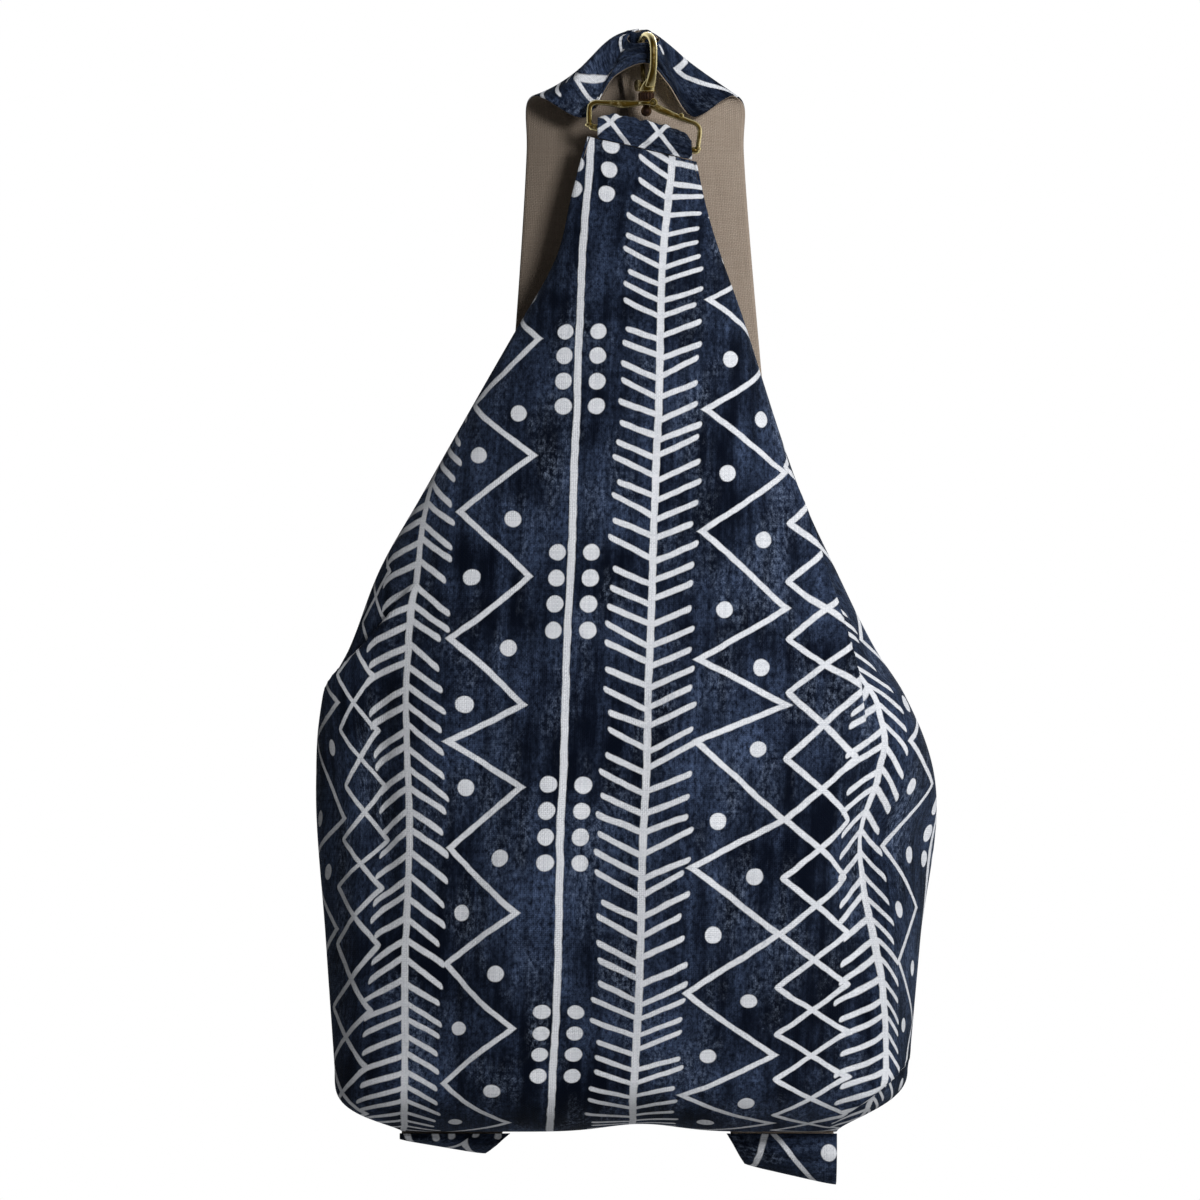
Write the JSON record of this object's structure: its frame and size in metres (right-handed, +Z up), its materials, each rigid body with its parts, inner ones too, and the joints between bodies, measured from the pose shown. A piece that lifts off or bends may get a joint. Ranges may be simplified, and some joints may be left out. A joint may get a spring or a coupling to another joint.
{
  "type": "backpack",
  "caption": "Soft printed cotton sling backpack tapering to a neck that hangs on a brass swivel clasp, with one long lined strap sewn in at the bottom corners",
  "frame": {"origin": "the point at the top of the strap that the backpack hangs by", "axes": "+Z up, -Y the front of the bag, +X to the right seen from the front"},
  "size_m": [0.2976, 0.1325, 0.5563],
  "materials": {
    "printed_cotton": "indigo cotton canvas with an off-white hand-drawn print, faded in streaks",
    "taupe_linen": "plain woven taupe linen",
    "antique_brass": "antique brass, bright on the edges",
    "dark_brass": "dark antique brass"
  },
  "bodies": {
    "bag": {"front_panel": "printed_cotton", "back_panel": "printed_cotton", "neck_tab": "printed_cotton", "strap_face": "printed_cotton", "strap_lining": "taupe_linen", "eye_frame": "antique_brass"},
    "hook": {"hook_body": "antique_brass", "gate_pin": "dark_brass", "gate_spring": "dark_brass", "swivel_barrel": "dark_brass", "swivel_rivet": "dark_brass"},
    "gate": {"gate": "antique_brass"}
  },
  "joints": [
    {"name": "hook_swivel", "type": "hinge", "parent": "bag", "child": "hook", "pos_m": [0.0044, 0, -0.03], "axis": [0, 0, 1], "range_deg": [-40, 10]},
    {"name": "gate_hinge", "type": "hinge", "parent": "hook", "child": "gate", "pos_m": [0.00295, 0.00274, -0.0256], "axis": [0.8829, 0.4695, 0], "range_deg": [0, 16], "stiffness_Nm_per_rad": 0.02, "springref_deg": -20.05}
  ]
}
